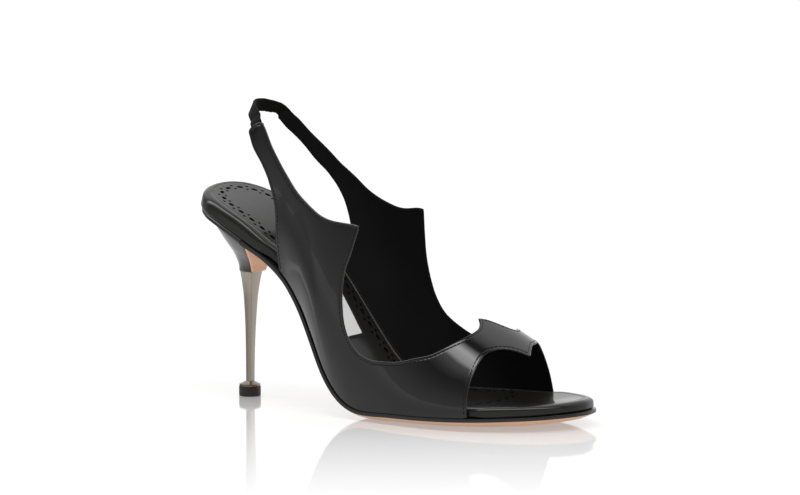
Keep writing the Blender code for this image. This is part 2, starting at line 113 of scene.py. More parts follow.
# Undersides along the footbed, measured down from its edge: its board, the outsole's edge and middle
DEPTH_COLUMNS = ("x", "board", "edge", "middle")
DEPTHS = (
    (-23.1, 7.7, 10.3, 10.8),
    (12.0, 7.7, 10.2, 10.8),
    (18.5, 7.4, 10.0, 10.7),
    (26.0, 6.8, 8.9, 10.2),
    (35.0, 5.8, 7.9, 9.8),
    (46.0, 5.2, 7.3, 9.4),
    (193.2, 5.2, 7.1, 9.4),
)

# Rand's rise over the outsole's edge, and the outsole's step out at the toe
RAND_RISE = 0.5
TOE_WELT = 1.2
HEEL_BACK = SOLE[0][0]
TOE_TIP = SOLE[-1][0]

# The last above the footbed: the ridge line, and how far each wall swells past the footbed
CROWN_COLUMNS = ("x", "ridge", "shift", "lateral_swell", "medial_swell")
CROWN = (
    (0.0, 150.0, 0.0, 0.0, 0.0),
    (10.0, 158.0, 0.0, 1.0, 1.0),
    (20.0, 168.0, 0.0, 3.0, 3.0),
    (32.0, 174.0, 0.0, 6.0, 6.0),
    (45.0, 172.0, 0.0, 9.0, 9.0),
    (60.0, 163.0, 0.0, 9.0, 9.0),
    (75.0, 150.0, 0.0, 7.0, 8.0),
    (90.0, 132.0, 1.0, 4.0, 6.0),
    (105.0, 98.0, 2.0, 2.0, 4.0),
    (120.0, 68.0, 4.0, 1.0, 2.0),
    (135.0, 53.0, 5.5, 1.0, 0.0),
    (150.0, 45.2, 7.0, 1.0, -1.5),
    (165.0, 36.8, 8.5, 1.0, -1.5),
    (196.0, 22.0, 12.0, 0.0, 0.0),
)

# Upper's cut edges on the last: x, and the angle from the ridge, lateral side negative
LATERAL_REAR = ((35.0, -90), (35.4, -80), (35.5, -72), (31.0, -66), (26.2, -62), (19.1, -56), (14.2, -48.6))
LATERAL_TAB = ((14.0, -46.9), (16.0, -45.6), (19.5, -45.4), (22.8, -46.2))
LATERAL_STRAP = ((23.8, -47.4), (30.6, -54.2), (37.6, -58), (44.4, -59.6), (51, -59.8), (60, -57.7),
                 (69.5, -54.7), (78.4, -51), (86.9, -47.1))
LATERAL_THROAT = ((86.9, -47.1), (84.9, -55.4), (82.7, -60.8), (82.1, -65.4), (82.6, -69.5), (84.3, -73.1),
                  (88.1, -75.4), (94.2, -76.4), (103.1, -74.8), (113.6, -69.9), (122.5, -62.5),
                  (131.5, -53.1),
                  (139.2, -37.5), (142.4, -24.0), (141.6, -16.5), (138.5, -10.7))
SPLIT_EDGE = ((138.5, -10.7), (141.5, -5.7), (146.5, -1.2), (150.0, 2.5))
REAR_NOTCH = ((150.9, 5.0), (151.4, 8.0), (150.5, 11.0))
MEDIAL_THROAT = ((149.0, 16.0), (145.0, 32.0), (137.0, 46.0), (126.0, 58.0), (115.0, 66.0), (107.4, 69.0),
                 (97.2, 70.5), (91.7, 69.4), (87.9, 66.0), (85.9, 60.4), (86.5, 53.0), (88.5, 44.3))
MEDIAL_STRAP = ((88.5, 44.3), (75.9, 52.6), (65.5, 57.6), (55.8, 61.0), (48.0, 62.0), (36.3, 61.4),
                (23.3, 54.6), (14.2, 42.0))
MEDIAL_TAB = ((12.6, 39.0), (10.0, 36.8), (7.3, 37.4))
MEDIAL_REAR = ((6.6, 40.5), (10.9, 50.1), (21.8, 63.2), (30.9, 68.0), (36.5, 70.6), (41.0, 74.0),
               (44.3, 80.0),
               (43.2, 90.0))
LATERAL_FRONT = ((153.0, -90.0), (152.5, -77.3), (152.2, -65.2), (152.3, -57.3), (152.3, -47.2),
                 (153.1, -36.4),
                 (156.9, -26.4), (161.9, -20.4), (167.7, -17.7))
FRONT_NOTCH = ((167.7, -17.7), (166.2, -11.5), (164.6, -5.5), (163.4, -1.0), (162.6, 3.0))
MEDIAL_FRONT = ((162.0, 9.5), (159.6, 20.0), (157.4, 36.0), (156.9, 50.0), (157.4, 66.0), (157.8, 80.0),
                (158.3, 90.0))
OPENING_X = {-1: LATERAL_FRONT[0][0], 1: MEDIAL_FRONT[-1][0]}
QUARTER_X = {-1: LATERAL_REAR[0][0], 1: MEDIAL_REAR[-1][0]}

# Heel block's D sections, from its bottom to the seat
BLOCK_COLUMNS = ("rise", "back", "breast", "half_width")
BLOCK = (
    (0.00, -5.4, 4.9, 5.0),
    (0.12, -5.6, 5.6, 6.6),
    (0.24, -6.4, 6.8, 9.0),
    (0.40, -8.2, 8.6, 12.6),
    (0.56, -11.8, 10.1, 16.0),
    (0.72, -15.6, 11.3, 18.8),
    (0.86, -18.6, 12.0, 20.8),
    (1.00, -20.0, 12.4, 22.0),
)
SHAFT_COLUMNS = ("z", "back", "breast", "half_width")
SHAFT = (
    (COLLAR_TOP + 0.1, -2.1, 1.6, 2.0),
    (20.0, -2.2, 1.8, 2.05),
    (33.0, -2.4, 2.3, 2.2),
    (50.0, -3.3, 3.3, 2.8),
    (58.0, -4.3, 4.1, 3.7),
    (BLOCK_BOTTOM - 0.1, -5.2, 4.7, 4.8),
)

# Elastic at the back: middle line, and the way from its lower edge to its upper one
ELASTIC_WIDTH = 7.0
ELASTIC_THICKNESS = 1.1
ELASTIC = (
    (21.9, -19.15, 135.1, 6.5, -0.6, 2.8),
    (19.2, -17.55, 138.9, 6.4, -0.6, 3.0),
    (14.6, -14.6, 142.9, 5.6, -0.6, 4.2),
    (9.6, -10.2, 145.4, 4.2, -0.4, 5.4),
    (5.2, -4.0, 146.9, 2.6, 0.0, 6.4),
    (4.2, 3.0, 147.4, 2.4, 0.0, 6.5),
    (6.2, 8.8, 146.4, 4.0, 0.2, 5.6),
    (9.8, 14.9, 144.4, 5.4, 0.5, 4.4),
    (11.2, 16.3, 141.7, 6.4, 1.1, 2.2),
    (13.0, 17.7, 139.2, 6.5, 1.1, 2.0),
)

# Insole: punched row's inset and front arc, binding line, and the blank label's place
ROW_INSET = 9.2
ROW_FRONT = ((128.0, -29.3), (136.0, -25.4), (141.5, -15.6), (144.5, 0.0), (145.0, 11.5), (143.2, 21.6),
             (138.2, 28.2), (130.0, 29.6))
PUNCH_PITCH = 7.4
PUNCH_LARGE = (1.8, 1.1)
PUNCH_SMALL = 0.8
PUNCH_SPREAD = 1.7
PUNCH_DEPTH = 0.9
PUNCH_CLEAR = 2.7
BINDING = 4.7
LABEL_FRONT_X = 66.0
LABEL_LENGTH = 45.0
LABEL_SIDES = (-8.0, 4.3)
LABEL_FRAME = 1.6
LABEL_RISE = 0.34
FRAME_RISE = 0.22

# Stitches: pitch, length, width, height, and how deep they sit
STITCHES = {
    "upper": (2.15, 1.75, 0.42, 0.2, 0.1),
    "binding": (1.5, 1.2, 0.34, 0.16, 0.0),
    "label": (1.5, 1.15, 0.34, 0.16, 0.02),
}

# Camera: angles and distance to the heel's foot, and where that foot stands in the frame
AZIMUTH = math.radians(34)
ELEVATION = math.radians(6.8)
DISTANCE = 2000.0
FRAME_SIZE = (800, 495)
PIXELS_PER_MM = 1.98
HEEL_PIXEL = (250.0, 395.3)

# Light tent by its angle over the shoe in degrees, from the lateral horizon to the medial one
SKY = ((-90, 0.65), (-75, 0.45), (-64, 0.28), (-48, 0.14), (-38, 0.45), (-24, 1.2), (-19, 5.0), (-8, 7.0),
       (-2, 3.0), (3, 0.08), (9, 0.08), (16, 0.8), (25, 1.2), (43, 1.05), (60, 1.05), (90, 1.1))

# Light of a full ramp stop, its gain, and the share left toward the heel's and toe's horizon
SKY_TOP = 8.0
SKY_GAIN = 1.18
SKY_ENDS = 0.2

# Floor: grey, glow, its mirror's roughness and share, and the metres ahead over which that fades
FLOOR_GREY = 0.32
FLOOR_GLOW = 0.5
MIRROR_ROUGHNESS = 0.045
MIRROR_SHARE = 0.68
MIRROR_REACH = 0.31

# Finishes: two colours mixed in mottles, and a fine grain with its height in millimetres
GLOSS_SPREAD = 0.05
FINISH_COLUMNS = ("colour", "second", "roughness", "grain", "grain_height", "specular")
FINISHES = {
    "patent": ((0.0045, 0.0043, 0.0045), (0.0065, 0.0061, 0.0062), 0.4, 1600, 0.004, 0.0),
    "suede_lining": ((0.0045, 0.0040, 0.0042), (0.008, 0.0072, 0.0072), 0.9, 2600, 0.06, 0.12),
    "painted_edge": ((0.045, 0.042, 0.040), (0.07, 0.065, 0.062), 0.38, 1500, 0.02, 0.6),
    "thread": ((0.006, 0.0056, 0.0054), (0.014, 0.013, 0.0125), 0.6, 5000, 0.03, 0.15),
    "binding_thread": ((0.09, 0.085, 0.08), (0.13, 0.125, 0.12), 0.6, 5000, 0.03, 0.5),
    "insole": ((0.0055, 0.0050, 0.0047), (0.0095, 0.0088, 0.0083), 0.4, 1400, 0.012, 0.08),
    "label_surround": ((0.005, 0.0048, 0.0046), (0.008, 0.0076, 0.0074), 0.5, 1400, 0.02, 0.2),
    "punched_lining": ((0.003, 0.003, 0.003), (0.006, 0.006, 0.006), 0.9, 900, 0.02, 0.1),
    "sole_tan": ((0.58, 0.33, 0.19), (0.64, 0.385, 0.235), 0.45, 1100, 0.03, 0.5),
    "edge_black": ((0.006, 0.0056, 0.0054), (0.011, 0.0104, 0.0098), 0.3, 900, 0.012, 0.4),
    "heel_patent": ((0.0055, 0.0053, 0.0054), (0.0075, 0.0072, 0.0073), 0.4, 1600, 0.004, 0.0),
    "brushed_metal": ((0.28, 0.25, 0.21), (0.32, 0.285, 0.24), 0.2, 700, 0.004, 0.5),
    "bronze_metal": ((0.17, 0.135, 0.11), (0.21, 0.17, 0.14), 0.22, 900, 0.006, 0.5),
    "tip_rubber": ((0.012, 0.0108, 0.0098), (0.018, 0.0165, 0.015), 0.5, 1800, 0.03, 0.3),
    "webbing": ((0.0035, 0.0032, 0.0030), (0.0075, 0.0068, 0.0063), 0.8, 3200, 0.08, 0.06),
    "blank_label": ((0.55, 0.55, 0.545), (0.62, 0.62, 0.615), 0.4, 1300, 0.02, 0.5),
}
FINISH_EXTRAS = {
    "patent": {"swell": 48, "swell_height": 0.3, "coat": 1.0, "coat_roughness": 0.035},
    "insole": {"swell": 60, "swell_height": 0.08, "coat": 0.5, "coat_roughness": 0.1},
    "heel_patent": {"swell": 50, "swell_height": 0.12, "coat": 1.0, "coat_roughness": 0.04},
    "sole_tan": {"mottle": 35},
    "brushed_metal": {"metallic": 1.0, "mottle": 90, "stretch": (6, 6, 1)},
    "bronze_metal": {"metallic": 1.0},
    "webbing": {"mottle": 400, "sheen": 0.02},
}


def column(rows, names, name):
    """One named column of a table."""
    return np.array([row[names.index(name)] for row in rows], float)


def cubic(a, b, rise_a, rise_b, t):
    """Cubic from a to b, with its rises at both ends."""
    return (a * (1 + 2 * t) * (1 - t) ** 2 + rise_a * t * (1 - t) ** 2
            + b * (3 - 2 * t) * t ** 2 - rise_b * (1 - t) * t ** 2)


def pchip(xs, ys, x):
    """Smooth curve through (xs, ys) that never swings past its points."""
    x = np.asarray(x, float)
    step = np.diff(xs)
    rate = np.diff(ys) / step
    slope = np.empty_like(ys)
    slope[0], slope[-1] = rate[0], rate[-1]
    before, after = rate[:-1], rate[1:]
    first, second = step[:-1] + 2 * step[1:], 2 * step[:-1] + step[1:]
    with np.errstate(divide="ignore", invalid="ignore"):
        mean = (first + second) / (second / before + first / after)
    slope[1:-1] = np.where(before * after > 0, mean, 0.0)
    i = np.clip(np.searchsorted(xs, x) - 1, 0, len(step) - 1)
    t = np.clip((x - xs[i]) / step[i], 0, 1)
    return cubic(ys[i], ys[i + 1], slope[i] * step[i], slope[i + 1] * step[i], t)


def curve(rows, names, name, x):
    """A table's column as a smooth function of its first one."""
    return pchip(column(rows, names, names[0]), column(rows, names, name), x)


def soft_weights(places, width):
    """Weights of a soft average."""
    weight = np.exp(-0.5 * (places / width) ** 2)
    return weight / weight.sum()


def blur(values, weight):
    return np.convolve(np.pad(values, len(weight) // 2, mode="edge"), weight, "valid")


class Smooth:
    """A table's column averaged along x, so that gloss runs over it without ripples."""

    STEP = 0.5
    START = -80.0

    def __init__(self, rows, names, name, width):
        xs, ys = column(rows, names, "x"), column(rows, names, name)
        grid = np.arange(self.START, 260.0, self.STEP)
        inside = np.clip(grid, xs[0], xs[-1])
        first, last = (ys[1] - ys[0]) / (xs[1] - xs[0]), (ys[-1] - ys[-2]) / (xs[-1] - xs[-2])
        raw = pchip(xs, ys, inside) + np.where(grid < xs[0], first, last) * (grid - inside)
        reach = int(3 * width / self.STEP)
        self.values = blur(raw, soft_weights(np.arange(-reach, reach + 1) * self.STEP, width))
        self.slopes = np.gradient(self.values)

    def __call__(self, x):
        place = (np.asarray(x, float) - self.START) / self.STEP
        i = np.clip(place.astype(int), 0, len(self.values) - 2)
        t = place - i
        return cubic(self.values[i], self.values[i + 1], self.slopes[i], self.slopes[i + 1], t)


SOLE_SMOOTH = {name: Smooth(SOLE, SOLE_COLUMNS, name, 2.5) for name in SOLE_COLUMNS[1:]}
DEPTH_SMOOTH = {name: Smooth(DEPTHS, DEPTH_COLUMNS, name, 2.0) for name in DEPTH_COLUMNS[1:]}
CROWN_SMOOTH = {name: Smooth(CROWN, CROWN_COLUMNS, name, 5.0) for name in CROWN_COLUMNS[1:]}


def unit(v):
    return v / np.maximum(np.linalg.norm(v, axis=-1, keepdims=True), 1e-9)


def ease(t):
    t = np.clip(t, 0, 1)
    return t * t * (3 - 2 * t)


def distances(points, others):
    return np.linalg.norm(points[:, None] - others[None], axis=2)


def half_width(x, side):
    return SOLE_SMOOTH["lateral" if side < 0 else "medial"](x)


def sole_point(x, y, depth):
    """World points from a place on the footbed and a depth under its edge."""
    x, y, depth = np.broadcast_arrays(*(np.asarray(v, float) for v in (x, y, depth)))
    lateral, medial = half_width(x, -1), half_width(x, 1)
    middle, half = (medial - lateral) / 2, np.maximum((medial + lateral) / 2, 0.5)
    across = np.clip((y - middle) / half, -1, 1)
    leaning = (y - middle) / np.maximum(half, 18)
    height = SOLE_SMOOTH["height"]
    slope = height(x + 0.5) - height(x - 0.5)
    length = np.sqrt(1 + slope ** 2)
    dish = SOLE_SMOOTH["dish"](x) * (1 - across ** 2) * (1 - ease((x - 172) / 20))
    rise = leaning * SOLE_SMOOTH["lift"](x) / 2 - dish - depth
    return np.stack([x - slope / length * rise, y, height(x) + rise / length], -1)


def footbed_inset(x, side):
    """How far the footbed stands in from the last where the upper wraps it."""
    inside = ease((x - QUARTER_X[side] + 7) / 5) * ease((OPENING_X[side] + 5 - x) / 4)
    return TUCK * inside


def spline(points, step):
    """Even points on a smooth curve through the given ones, last one left out."""
    p = np.array(points, float)
    ends = np.vstack([2 * p[0] - p[1], p, 2 * p[-1] - p[-2]])
    dense = []
    for a, b, c, d in zip(ends[:-3], ends[1:-2], ends[2:-1], ends[3:]):
        t = np.linspace(0, 1, 12, endpoint=False)[:, None]
        dense.append(0.5 * (2 * b + (c - a) * t + (2 * a - 5 * b + 4 * c - d) * t ** 2
                            + (3 * b - a - 3 * c + d) * t ** 3))
    dense = np.vstack(dense + [p[-1:]])
    length = run_length(dense)
    count = max(2, int(round(length[-1] / step)))
    return resample(dense, np.linspace(0, length[-1], count + 1)[:-1])


def run_length(points):
    """Distance along a line to each of its points."""
    return np.concatenate([[0], np.cumsum(np.linalg.norm(np.diff(points, axis=0), axis=1))])


def resample(points, at):
    """Points of a line at distances along it."""
    length = run_length(points)
    return np.stack([np.interp(at, length, points[:, k]) for k in range(points.shape[1])], 1)


def close(points):
    return np.vstack([points, points[:1]])


def circle(count):
    return np.linspace(0, 2 * math.pi, count, endpoint=False)


def smooth_loop(points, count, width=2.0, fine_count=1600):
    """Even points on a closed line, rounded over a width."""
    closed = close(points)
    total = run_length(closed)[-1]
    fine = resample(closed, np.linspace(0, total, fine_count, endpoint=False))
    reach = int(3 * width / total * fine_count)
    weight = soft_weights(np.arange(-reach, reach + 1) * total / fine_count, width)
    wrapped = np.vstack([fine[-reach:], fine, fine[:reach]])
    soft = close(np.stack([np.convolve(wrapped[:, k], weight, "valid") for k in (0, 1)], 1))
    return resample(soft, np.linspace(0, run_length(soft)[-1], count, endpoint=False))


def plan_side(side, extra):
    """One side of the sole's outline in plan, from the heel to the toe."""
    x = HEEL_BACK + (TOE_TIP - HEEL_BACK) * (1 - np.cos(np.linspace(0, math.pi, 300))) / 2
    width = curve(SOLE, SOLE_COLUMNS, "lateral" if side < 0 else "medial", x)
    return np.stack([x, side * (width + extra(x, side))], 1)


def plan_loop(extra, count):
    """Outline in plan from the heel along the lateral side to the toe and back."""
    there, back = plan_side(-1, extra), plan_side(1, extra)[::-1]
    return smooth_loop(np.vstack([there, back[1:-1]]), count)


def toward_hub(loop):
    """Way from the sole's middle line out to each point of a plan outline."""
    hub_x = np.clip(loop[:, 0], HEEL_BACK + 20, TOE_TIP - 26)
    hub = np.stack([hub_x, (half_width(hub_x, 1) - half_width(hub_x, -1)) / 2], 1)
    return hub, loop - hub


def shrink(loop, fraction, inset):
    """Plan outline drawn in by a fraction and an inset."""
    hub, out = toward_hub(loop)
    length = np.maximum(np.linalg.norm(out, axis=1, keepdims=True), 1e-6)
    return hub + out * fraction * np.clip(1 - inset / length, 0, 1)


def ring_faces(rings, size):
    faces = []
    for r in range(rings - 1):
        for i in range(size):
            j = (i + 1) % size
            faces.append((r * size + i, r * size + j, (r + 1) * size + j, (r + 1) * size + i))
    return faces


def tube_faces(rings, size):
    """Faces between rings, with both ends closed."""
    ends = [tuple(range(size))[::-1], tuple((rings - 1) * size + i for i in range(size))]
    return ring_faces(rings, size) + ends


def sole_layer(loop, profile, floor=False):
    """Rings of a sole piece. A profile row is a fraction of the way out, an inset, the shares of the
    board's, edge's and middle's depths, and an extra depth."""
    rings = []
    for fraction, inset, shares, extra in profile:
        plan = shrink(loop, fraction, inset)
        depth = extra + sum(k * DEPTH_SMOOTH[name](plan[:, 0]) for k, name in zip(shares, DEPTH_COLUMNS[1:]))
        ring = sole_point(*plan.T, depth)
        if floor:
            ring[:, 2] = np.maximum(ring[:, 2], 0)
        rings.append(ring)
    return np.concatenate(rings), ring_faces(len(profile), len(loop))


def make_piece(name, points, faces, materials, node, index=None, normals=None, sharp=40, recalc=True):
    """A mesh object in the shared frame, on the root body, standing for a CAD node."""
    mesh = bpy.data.meshes.new(name)
    mesh.from_pydata((np.asarray(points) * MM).tolist(), [], [list(map(int, f)) for f in faces])
    for entry in materials:
        mesh.materials.append(entry)
    if index is not None:
        mesh.polygons.foreach_set("material_index", np.asarray(index, np.int32))
    if recalc:
        form = bmesh.new()
        form.from_mesh(mesh)
        bmesh.ops.remove_doubles(form, verts=form.verts, dist=0.00001)
        bmesh.ops.dissolve_degenerate(form, dist=0.000002, edges=form.edges)
        bmesh.ops.recalc_face_normals(form, faces=form.faces)
        form.to_mesh(mesh)
        form.free()
    mesh.polygons.foreach_set("use_smooth", np.ones(len(mesh.polygons), bool))
    if normals is not None:
        mesh.normals_split_custom_set_from_vertices(normals.tolist())
    elif sharp:
        mesh.set_sharp_from_angle(angle=math.radians(sharp))
    mesh.update()
    obj = bpy.data.objects.new(name, mesh)
    bpy.context.scene.collection.objects.link(obj)
    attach(obj, "root")
    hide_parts(node)
    return obj


def rim_lines():
    """Foot of the upper on each side, as x against y and z."""
    x = np.linspace(HEEL_BACK + 4, TOE_TIP - 4, 1500)
    depth = DEPTH_SMOOTH["board"](x) + 0.08
    return {side: sole_point(x, side * (half_width(x, side) - 0.1), depth) for side in (-1, 1)}


RIMS = rim_lines()


def last_point(x, angle):
    """Outer face of the upper at x and an angle in degrees from the ridge."""
    x, angle = np.broadcast_arrays(np.asarray(x, float), np.radians(np.asarray(angle, float)))
    rise, out = np.cos(angle), np.sin(angle)
    foot = {side: [np.interp(x, RIMS[side][:, 0], RIMS[side][:, k]) for k in (1, 2)] for side in (-1, 1)}
    lateral = angle < 0
    reach = np.where(lateral, -foot[-1][0], foot[1][0])
    low = np.where(lateral, foot[-1][1], foot[1][1])
    swell = np.where(lateral, CROWN_SMOOTH["lateral_swell"](x), CROWN_SMOOTH["medial_swell"](x))
    level = 1.25 * out ** 2 / (np.abs(out) + 0.25)
    y = CROWN_SMOOTH["shift"](x) * (1 - level) + out * (reach + 4 * swell * rise * (1 - rise))
    return np.stack([x, y, low + (CROWN_SMOOTH["ridge"](x) - low) * rise], -1)


def last_frame(flat):
    """Place, both tangents per flat unit, and the outward normal of flat points on the last."""
    x, angle = flat[:, 0], flat[:, 1] / DEGREE
    along = (last_point(x + 0.6, angle) - last_point(x - 0.6, angle)) / 1.2
    around = (last_point(x, angle + 0.6) - last_point(x, angle - 0.6)) / 1.2 / DEGREE
    return last_point(x, angle), along, around, unit(np.cross(along, around))


def upper_outline(step):
    """Closed cut line of the upper in x and flattened angle, and which points stand on the sole."""
    foot_lateral = tuple((x, -90) for x in np.linspace(QUARTER_X[-1], OPENING_X[-1], 12))
    foot_medial = tuple((x, 90) for x in np.linspace(OPENING_X[1], QUARTER_X[1], 12))
    edges = (foot_lateral, LATERAL_FRONT, FRONT_NOTCH + MEDIAL_FRONT, foot_medial, MEDIAL_REAR[::-1],
             MEDIAL_REAR[:1] + MEDIAL_TAB[::-1] + MEDIAL_STRAP[-1:], MEDIAL_STRAP[::-1], MEDIAL_THROAT[::-1],
             MEDIAL_THROAT[:1] + REAR_NOTCH[::-1] + SPLIT_EDGE[-1:], SPLIT_EDGE[::-1], LATERAL_THROAT[::-1],
             LATERAL_STRAP[::-1], LATERAL_STRAP[:1] + LATERAL_TAB[::-1] + LATERAL_REAR[-1:],
             LATERAL_REAR[::-1])
    lines = [spline([(x, a * DEGREE) for x, a in edge], step) for edge in edges]
    feet = [np.full(len(line), edge in (foot_lateral, foot_medial)) for line, edge in zip(lines, edges)]
    return np.vstack(lines), np.concatenate(feet)


def nearest(points, starts, ends):
    """Distance to the nearest of many segments, and the way from it."""
    gap, way = np.empty(len(points)), np.empty((len(points), 3))
    span = ends - starts
    size = np.maximum((span ** 2).sum(1), 1e-9)
    for first in range(0, len(points), 400):
        part = points[first:first + 400, None]
        t = np.clip(((part - starts) * span).sum(2) / size, 0, 1)
        away = part - starts - t[..., None] * span
        distance = np.linalg.norm(away, axis=2)
        best = distance.argmin(1)
        rows = np.arange(len(best))
        gap[first:first + 400] = distance[rows, best]
        way[first:first + 400] = away[rows, best]
    return gap, unit(way)


def inside_loop(points, loop):
    """Whether flat points lie inside a closed flat loop."""
    a, b = loop, np.roll(loop, -1, axis=0)
    result = np.zeros(len(points), bool)
    for first in range(0, len(points), 2000):
        p = points[first:first + 2000, None]
        over = (a[:, 1] > p[..., 1]) != (b[:, 1] > p[..., 1])
        rise = np.where(b[:, 1] == a[:, 1], 1e-9, b[:, 1] - a[:, 1])
        cross = a[:, 0] + (p[..., 1] - a[:, 1]) / rise * (b[:, 0] - a[:, 0])
        result[first:first + 2000] = (over & (cross > p[..., 0])).sum(1) % 2 == 1
    return result


def inward(loop):
    """Flat step per millimetre, square to the cut line and into the upper."""
    place, along, around, normal = last_frame(loop)
    tangent = unit(np.roll(place, -1, axis=0) - np.roll(place, 1, axis=0))
    x, y = loop.T
    turning = np.sign((x * np.roll(y, -1) - np.roll(x, -1) * y).sum())
    way = unit(np.cross(normal, tangent)) * turning
    aa, bb, ab = (along ** 2).sum(1), (around ** 2).sum(1), (along * around).sum(1)
    wa, wb = (way * along).sum(1), (way * around).sum(1)
    det = aa * bb - ab ** 2
    return np.stack([(wa * bb - wb * ab) / det, (wb * aa - wa * ab) / det], 1), way


def section_grid(spacing):
    """Flat points evenly spread over the last."""
    rows = []
    angles = np.linspace(-90, 90, 721)
    for k, x in enumerate(np.arange(3, 176, spacing * 0.9)):
        length = run_length(last_point(x, angles))
        at = np.arange(0.5 * spacing * (k % 2), length[-1], spacing)
        rows.append(np.stack([np.full(len(at), x), np.interp(at, length, angles) * DEGREE], 1))
    return np.vstack(rows)


def edge_shape(gap):
    """Height of the outer face near a cut edge, and its slope away from the edge."""
    inner = np.clip(1 - gap / EDGE_RADIUS, 0, 1)
    height = -EDGE_RADIUS * (1 - np.sqrt(1 - inner ** 2))
    seam = SEAM_DEPTH * np.exp(-((gap - SEAM_INSET) / SEAM_WIDTH) ** 2)
    slope = seam * 2 * (gap - SEAM_INSET) / SEAM_WIDTH ** 2
    return height - seam, slope, inner


def build_upper(patent, lining, edge_paint):
    loop, foot = upper_outline(1.0)
    step, way_in = inward(loop)
    world = last_frame(loop)[0]
    after = np.roll(world, -1, axis=0)
    cut = ~(foot & np.roll(foot, -1))
    rings = []
    for depth in UPPER_RINGS:
        ring = loop + step * depth
        gap, _ = nearest(last_frame(ring)[0], world, after)
        rings.append(ring[gap > 0.8 * depth])
    grid = section_grid(1.6)
    grid = grid[inside_loop(grid, loop)]
    gap, _ = nearest(last_frame(grid)[0], world, after)
    inner = np.vstack(rings + [grid[gap > UPPER_RINGS[-1] + 0.8]])
    inner = inner[inside_loop(inner, loop)]
    everything = [Vector(p) for p in np.vstack([loop, inner])]
    result = delaunay_2d_cdt(everything, [], [list(range(len(loop)))], 1, 0.0001)
    flat = np.array([tuple(v) for v in result[0]])
    faces = np.array([tuple(f) for f in result[2]])
    used, faces = np.unique(faces, return_inverse=True)
    flat, faces = flat[used], faces.reshape(-1, 3)
    place, _, _, normal = last_frame(flat)
    gap, away = nearest(place, world[cut], after[cut])
    foot_gap, _ = nearest(place, world[~cut], after[~cut])
    on_edge = gap < 0.02
    away[on_edge] = way_in[distances(place[on_edge], world).argmin(1)]
    height, slope, round_off = edge_shape(gap)
    height = height - FOOT_TURN * np.clip(1 - foot_gap / FOOT_REACH, 0, 1) ** 2
    outer = place + normal * height[:, None]
    shading = unit(normal * np.sqrt(np.maximum(1 - round_off ** 2, 0))[:, None] - away * round_off[:, None]
                   + away * (-slope)[:, None] * (round_off == 0)[:, None])
    wall = WALL_EDGE + (WALL - WALL_EDGE) * ease(gap / 5)
    under = EDGE_UNDER * np.clip(1 - gap / EDGE_UNDER, 0, 1)
    lower = place - normal * (wall - under)[:, None]
    count = len(flat)
    directed = np.vstack([faces[:, [0, 1]], faces[:, [1, 2]], faces[:, [2, 0]]])
    _, first, seen = np.unique(np.sort(directed, axis=1), axis=0, return_index=True, return_counts=True)
    rim = directed[first[seen == 1]]
    strip = [(b, a, a + count, b + count) for a, b in rim]
    every_face = faces.tolist() + (faces[:, ::-1] + count).tolist() + strip
    index = [0] * len(faces) + [1] * len(faces) + [2] * len(strip)
    inside_shading = unit(-normal - away * (gap < 0.3)[:, None])
    make_piece("upper_leather", np.vstack([outer, lower]), every_face, (patent, lining, edge_paint), "upper",
               index, np.vstack([shading, inside_shading]), recalc=False)


def seam_runs(inset):
    """World lines beside the upper's cut edges with the face's normals, one for each run of edge."""
    loop, foot = upper_outline(0.8)
    step, _ = inward(loop)
    line = loop + step * inset
    place, _, _, normal = last_frame(line)
    world = last_frame(loop)[0]
    gap, _ = nearest(place, world, np.roll(world, -1, axis=0))
    start = int(np.argmax(foot & ~np.roll(foot, -1)))
    order = np.roll(np.arange(len(loop)), -start - 1)
    runs, current = [], []
    for i in order:
        if foot[i]:
            if len(current) > 20:
                runs.append(current)
            current = []
        elif gap[i] > 0.9 * inset:
            current.append(i)
    if len(current) > 20:
        runs.append(current)
    return [(place[run], normal[run]) for run in runs]


def stitch_mesh(lines, pitch, length, width, height, sink):
    """Thread stitches along lines, each one a small capsule half sunk in the face."""
    along = np.array([-1.0, -0.82, -0.35, 0.35, 0.82, 1.0])
    swell = np.array([0.25, 0.75, 1.0, 1.0, 0.75, 0.25])
    turn = circle(6)
    points, faces = [], []
    for line, normals in lines:
        total = run_length(line)[-1]
        number = max(1, int(total / pitch))
        at = (np.arange(number) + 0.5) * total / number
        middle = resample(line, at)
        up = unit(np.stack([np.interp(at, run_length(line), normals[:, k]) for k in range(3)], 1))
        tangent = unit(resample(line, np.minimum(at + 0.5, total)) - resample(line, np.maximum(at - 0.5, 0)))
        side = unit(np.cross(up, tangent))
        for m, u, t, s in zip(middle, up, tangent, side):
            base = len(points) * 36
            ring = (m - u * sink + (t * length / 2) * along[:, None, None]
                    + s * (width / 2 * np.cos(turn))[None, :, None] * swell[:, None, None]
                    + u * (height * np.sin(turn))[None, :, None] * swell[:, None, None])
            points.append(ring.reshape(-1, 3))
            faces += [tuple(base + k for k in f) for f in ring_faces(6, 6)]
            faces += [tuple(base + k for k in range(6)), tuple(base + 30 + k for k in range(6))[::-1]]
    return np.vstack(points), faces


def build_upper_stitches(thread):
    points, faces = stitch_mesh(seam_runs(SEAM_INSET), *STITCHES["upper"])
    make_piece("upper_stitches", points, faces, (thread,), "upper", sharp=None)


def arc_table():
    """Length along the footbed's middle against x."""
    x = np.linspace(HEEL_BACK - 2, TOE_TIP + 2, 1200)
    height = SOLE_SMOOTH["height"](x)
    return x, run_length(np.stack([x, height], 1))


ARC_X, ARC_S = arc_table()


def to_flat(points):
    return np.stack([np.interp(points[:, 0], ARC_X, ARC_S), points[:, 1]], 1)


def from_flat(points):
    return np.stack([np.interp(points[:, 0], ARC_S, ARC_X), points[:, 1]], 1)


